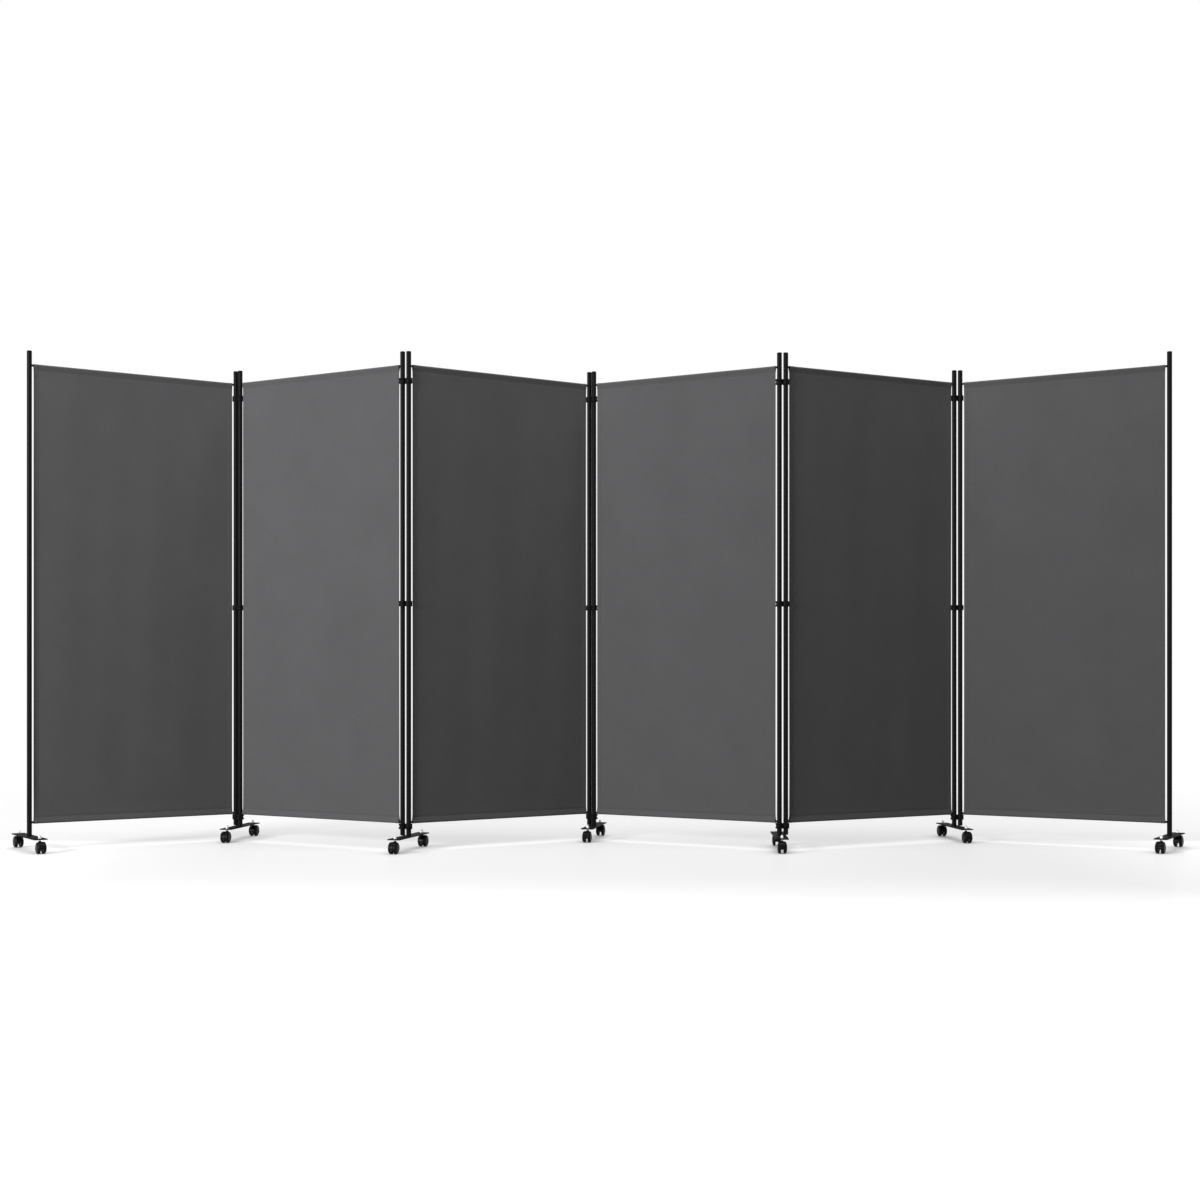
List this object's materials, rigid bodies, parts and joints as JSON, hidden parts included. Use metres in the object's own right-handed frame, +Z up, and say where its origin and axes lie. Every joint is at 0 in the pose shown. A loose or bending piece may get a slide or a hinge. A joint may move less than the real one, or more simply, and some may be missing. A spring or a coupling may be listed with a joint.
{
  "type": "folding room divider",
  "caption": "Folding fabric screen: panels between round posts, joined by double-ring clips into a zigzag, on turning foot plates with twin-wheel casters.",
  "frame": {"origin": "on the floor under the middle of the screen as it stands in its zigzag", "axes": "+Z up; X along the screen, from panel 1 to panel 6; +Y to its back"},
  "size_m": [4.1284, 0.6866, 1.726],
  "materials": {
    "posts": "satin black",
    "fabric": "plain charcoal weave",
    "clips": "fine grain",
    "plates": "satin black",
    "fasteners": "bright zinc plated",
    "hoods": "semi-gloss",
    "wheels": "hard smooth tread"
  },
  "bodies": {
    "panel_1": {"panel_1_frame": "posts", "panel_1_fabric": "fabric"},
    "panel_2": {"panel_2_frame": "posts", "panel_2_fabric": "fabric"},
    "panel_3": {"panel_3_frame": "posts", "panel_3_fabric": "fabric"},
    "panel_4": {"panel_4_frame": "posts", "panel_4_fabric": "fabric"},
    "panel_5": {"panel_5_frame": "posts", "panel_5_fabric": "fabric"},
    "panel_6": {"panel_6_frame": "posts", "panel_6_fabric": "fabric"},
    "clips_1": {"clips_1": "clips"},
    "clips_2": {"clips_2": "clips"},
    "clips_3": {"clips_3": "clips"},
    "clips_4": {"clips_4": "clips"},
    "clips_5": {"clips_5": "clips"},
    "foot_1": {"foot_1_plate": "plates", "foot_1_fasteners": "fasteners"},
    "foot_1_front_caster": {"foot_1_front_hood": "hoods"},
    "foot_1_front_rollers": {"foot_1_front_wheels": "wheels"},
    "foot_1_back_caster": {"foot_1_back_hood": "hoods"},
    "foot_1_back_rollers": {"foot_1_back_wheels": "wheels"},
    "foot_2": {"foot_2_plate": "plates", "foot_2_fasteners": "fasteners"},
    "foot_2_front_caster": {"foot_2_front_hood": "hoods"},
    "foot_2_front_rollers": {"foot_2_front_wheels": "wheels"},
    "foot_2_back_caster": {"foot_2_back_hood": "hoods"},
    "foot_2_back_rollers": {"foot_2_back_wheels": "wheels"},
    "foot_3": {"foot_3_plate": "plates", "foot_3_fasteners": "fasteners"},
    "foot_3_front_caster": {"foot_3_front_hood": "hoods"},
    "foot_3_front_rollers": {"foot_3_front_wheels": "wheels"},
    "foot_3_back_caster": {"foot_3_back_hood": "hoods"},
    "foot_3_back_rollers": {"foot_3_back_wheels": "wheels"},
    "foot_4": {"foot_4_plate": "plates", "foot_4_fasteners": "fasteners"},
    "foot_4_front_caster": {"foot_4_front_hood": "hoods"},
    "foot_4_front_rollers": {"foot_4_front_wheels": "wheels"},
    "foot_4_back_caster": {"foot_4_back_hood": "hoods"},
    "foot_4_back_rollers": {"foot_4_back_wheels": "wheels"},
    "foot_5": {"foot_5_plate": "plates", "foot_5_fasteners": "fasteners"},
    "foot_5_front_caster": {"foot_5_front_hood": "hoods"},
    "foot_5_front_rollers": {"foot_5_front_wheels": "wheels"},
    "foot_5_back_caster": {"foot_5_back_hood": "hoods"},
    "foot_5_back_rollers": {"foot_5_back_wheels": "wheels"},
    "foot_6": {"foot_6_plate": "plates", "foot_6_fasteners": "fasteners"},
    "foot_6_front_caster": {"foot_6_front_hood": "hoods"},
    "foot_6_front_rollers": {"foot_6_front_wheels": "wheels"},
    "foot_6_back_caster": {"foot_6_back_hood": "hoods"},
    "foot_6_back_rollers": {"foot_6_back_wheels": "wheels"},
    "foot_7": {"foot_7_plate": "plates", "foot_7_fasteners": "fasteners"},
    "foot_7_front_caster": {"foot_7_front_hood": "hoods"},
    "foot_7_front_rollers": {"foot_7_front_wheels": "wheels"},
    "foot_7_back_caster": {"foot_7_back_hood": "hoods"},
    "foot_7_back_rollers": {"foot_7_back_wheels": "wheels"}
  },
  "joints": [
    {"name": "clips_3_on_panel_4", "type": "hinge", "parent": "panel_4", "child": "clips_3", "pos_m": [-0.01945, 0.19398, 0.85], "axis": [0, 0, 1], "range_deg": [-68, 87]},
    {"name": "panel_3_in_clips_3", "type": "hinge", "parent": "clips_3", "child": "panel_3", "pos_m": [-0.03655, 0.20782, 0.85], "axis": [0, 0, 1], "range_deg": [-149.5, 5.5]},
    {"name": "clips_2_on_panel_3", "type": "hinge", "parent": "panel_3", "child": "clips_2", "pos_m": [-0.65884, -0.1963, 0.85], "axis": [0, 0, -1], "range_deg": [-122.5, 32.5]},
    {"name": "panel_2_in_clips_2", "type": "hinge", "parent": "clips_2", "child": "panel_2", "pos_m": [-0.68036, -0.19173, 0.85], "axis": [0, 0, -1], "range_deg": [-95.5, 59.5]},
    {"name": "clips_1_on_panel_2", "type": "hinge", "parent": "panel_2", "child": "clips_1", "pos_m": [-1.32295, 0.17927, 0.85], "axis": [0, 0, 1], "range_deg": [-75.5, 79.5]},
    {"name": "panel_1_in_clips_1", "type": "hinge", "parent": "clips_1", "child": "panel_1", "pos_m": [-1.34161, 0.19093, 0.85], "axis": [0, 0, 1], "range_deg": [-142, 13]},
    {"name": "clips_4_on_panel_4", "type": "hinge", "parent": "panel_4", "child": "clips_4", "pos_m": [0.62635, -0.1714, 0.85], "axis": [0, 0, 1], "range_deg": [-107, 48]},
    {"name": "panel_5_in_clips_4", "type": "hinge", "parent": "clips_4", "child": "panel_5", "pos_m": [0.64836, -0.1714, 0.85], "axis": [0, 0, 1], "range_deg": [-105, 50]},
    {"name": "clips_5_on_panel_5", "type": "hinge", "parent": "panel_5", "child": "clips_5", "pos_m": [1.30652, 0.17122, 0.85], "axis": [0, 0, -1], "range_deg": [-103, 52]},
    {"name": "panel_6_in_clips_5", "type": "hinge", "parent": "clips_5", "child": "panel_6", "pos_m": [1.3285, 0.17198, 0.85], "axis": [0, 0, -1], "range_deg": [-109, 46]},
    {"name": "foot_1_turn", "type": "hinge", "parent": "panel_1", "child": "foot_1", "pos_m": [-1.9674, -0.20775, 0.05], "axis": [0, 0, 1], "range_deg": [-93, 87]},
    {"name": "foot_2_turn", "type": "hinge", "parent": "panel_2", "child": "foot_2", "pos_m": [-1.32295, 0.17927, 0.05], "axis": [0, 0, 1], "range_deg": [-109, 71]},
    {"name": "foot_3_turn", "type": "hinge", "parent": "panel_3", "child": "foot_3", "pos_m": [-0.65884, -0.1963, 0.05], "axis": [0, 0, 1], "range_deg": [-40.5, 139.5]},
    {"name": "foot_4_turn", "type": "hinge", "parent": "panel_4", "child": "foot_4", "pos_m": [-0.01945, 0.19398, 0.05], "axis": [0, 0, 1], "range_deg": [-108.5, 71.5]},
    {"name": "foot_5_turn", "type": "hinge", "parent": "panel_4", "child": "foot_5", "pos_m": [0.62635, -0.1714, 0.05], "axis": [0, 0, 1], "range_deg": [-117.5, 62.5]},
    {"name": "foot_6_turn", "type": "hinge", "parent": "panel_5", "child": "foot_6", "pos_m": [1.30652, 0.17122, 0.05], "axis": [0, 0, 1], "range_deg": [-71, 109]},
    {"name": "foot_7_turn", "type": "hinge", "parent": "panel_6", "child": "foot_7", "pos_m": [1.97431, -0.1934, 0.05], "axis": [0, 0, 1], "range_deg": [-87.5, 92.5]},
    {"name": "foot_1_front_swivel", "type": "hinge", "parent": "foot_1", "child": "foot_1_front_caster", "pos_m": [-1.89917, -0.3034, 0.04], "axis": [0, 0, 1], "continuous": true},
    {"name": "foot_1_back_swivel", "type": "hinge", "parent": "foot_1", "child": "foot_1_back_caster", "pos_m": [-2.03564, -0.11209, 0.04], "axis": [0, 0, 1], "continuous": true},
    {"name": "foot_2_front_swivel", "type": "hinge", "parent": "foot_2", "child": "foot_2_front_caster", "pos_m": [-1.34537, 0.06393, 0.04], "axis": [0, 0, 1], "continuous": true},
    {"name": "foot_2_back_swivel", "type": "hinge", "parent": "foot_2", "child": "foot_2_back_caster", "pos_m": [-1.30053, 0.29461, 0.04], "axis": [0, 0, 1], "continuous": true},
    {"name": "foot_3_front_swivel", "type": "hinge", "parent": "foot_3", "child": "foot_3_front_caster", "pos_m": [-0.69221, -0.30896, 0.04], "axis": [0, 0, 1], "continuous": true},
    {"name": "foot_3_back_swivel", "type": "hinge", "parent": "foot_3", "child": "foot_3_back_caster", "pos_m": [-0.62547, -0.08364, 0.04], "axis": [0, 0, 1], "continuous": true},
    {"name": "foot_4_front_swivel", "type": "hinge", "parent": "foot_4", "child": "foot_4_front_caster", "pos_m": [-0.04187, 0.07863, 0.04], "axis": [0, 0, 1], "continuous": true},
    {"name": "foot_4_back_swivel", "type": "hinge", "parent": "foot_4", "child": "foot_4_back_caster", "pos_m": [0.00297, 0.30932, 0.04], "axis": [0, 0, 1], "continuous": true},
    {"name": "foot_5_front_swivel", "type": "hinge", "parent": "foot_5", "child": "foot_5_front_caster", "pos_m": [0.62225, -0.28883, 0.04], "axis": [0, 0, 1], "continuous": true},
    {"name": "foot_5_back_swivel", "type": "hinge", "parent": "foot_5", "child": "foot_5_back_caster", "pos_m": [0.63046, -0.05397, 0.04], "axis": [0, 0, 1], "continuous": true},
    {"name": "foot_6_front_swivel", "type": "hinge", "parent": "foot_6", "child": "foot_6_front_caster", "pos_m": [1.32388, 0.055, 0.04], "axis": [0, 0, 1], "continuous": true},
    {"name": "foot_6_back_swivel", "type": "hinge", "parent": "foot_6", "child": "foot_6_back_caster", "pos_m": [1.28915, 0.28742, 0.04], "axis": [0, 0, 1], "continuous": true},
    {"name": "foot_7_front_swivel", "type": "hinge", "parent": "foot_7", "child": "foot_7_front_caster", "pos_m": [1.91204, -0.29304, 0.04], "axis": [0, 0, 1], "continuous": true},
    {"name": "foot_7_back_swivel", "type": "hinge", "parent": "foot_7", "child": "foot_7_back_caster", "pos_m": [2.03657, -0.09375, 0.04], "axis": [0, 0, 1], "continuous": true},
    {"name": "foot_1_front_roll", "type": "hinge", "parent": "foot_1_front_caster", "child": "foot_1_front_rollers", "pos_m": [-1.8922, -0.31317, 0.019], "axis": [0.8141, 0.5807, 0], "continuous": true},
    {"name": "foot_1_back_roll", "type": "hinge", "parent": "foot_1_back_caster", "child": "foot_1_back_rollers", "pos_m": [-2.0426, -0.10232, 0.019], "axis": [-0.8141, -0.5807, 0], "continuous": true},
    {"name": "foot_2_front_roll", "type": "hinge", "parent": "foot_2_front_caster", "child": "foot_2_front_rollers", "pos_m": [-1.34766, 0.05215, 0.019], "axis": [0.9816, -0.1908, 0], "continuous": true},
    {"name": "foot_2_back_roll", "type": "hinge", "parent": "foot_2_back_caster", "child": "foot_2_back_rollers", "pos_m": [-1.29824, 0.30639, 0.019], "axis": [-0.9816, 0.1908, 0], "continuous": true},
    {"name": "foot_3_front_roll", "type": "hinge", "parent": "foot_3_front_caster", "child": "foot_3_front_rollers", "pos_m": [-0.69562, -0.32047, 0.019], "axis": [0.9588, -0.284, 0], "continuous": true},
    {"name": "foot_3_back_roll", "type": "hinge", "parent": "foot_3_back_caster", "child": "foot_3_back_rollers", "pos_m": [-0.62206, -0.07213, 0.019], "axis": [-0.9588, 0.284, 0], "continuous": true},
    {"name": "foot_4_front_roll", "type": "hinge", "parent": "foot_4_front_caster", "child": "foot_4_front_rollers", "pos_m": [-0.04416, 0.06685, 0.019], "axis": [0.9816, -0.1908, 0], "continuous": true},
    {"name": "foot_4_back_roll", "type": "hinge", "parent": "foot_4_back_caster", "child": "foot_4_back_rollers", "pos_m": [0.00526, 0.3211, 0.019], "axis": [-0.9816, 0.1908, 0], "continuous": true},
    {"name": "foot_5_front_roll", "type": "hinge", "parent": "foot_5_front_caster", "child": "foot_5_front_rollers", "pos_m": [0.62184, -0.30082, 0.019], "axis": [0.9994, -0.0349, 0], "continuous": true},
    {"name": "foot_5_back_roll", "type": "hinge", "parent": "foot_5_back_caster", "child": "foot_5_back_rollers", "pos_m": [0.63087, -0.04198, 0.019], "axis": [-0.9994, 0.0349, 0], "continuous": true},
    {"name": "foot_6_front_roll", "type": "hinge", "parent": "foot_6_front_caster", "child": "foot_6_front_rollers", "pos_m": [1.32566, 0.04314, 0.019], "axis": [0.989, 0.1478, 0], "continuous": true},
    {"name": "foot_6_back_roll", "type": "hinge", "parent": "foot_6_back_caster", "child": "foot_6_back_rollers", "pos_m": [1.28738, 0.29929, 0.019], "axis": [-0.989, -0.1478, 0], "continuous": true},
    {"name": "foot_7_front_roll", "type": "hinge", "parent": "foot_7_front_caster", "child": "foot_7_front_rollers", "pos_m": [1.90568, -0.30322, 0.019], "axis": [0.848, -0.5299, 0], "continuous": true},
    {"name": "foot_7_back_roll", "type": "hinge", "parent": "foot_7_back_caster", "child": "foot_7_back_rollers", "pos_m": [2.04293, -0.08357, 0.019], "axis": [-0.848, 0.5299, 0], "continuous": true}
  ]
}
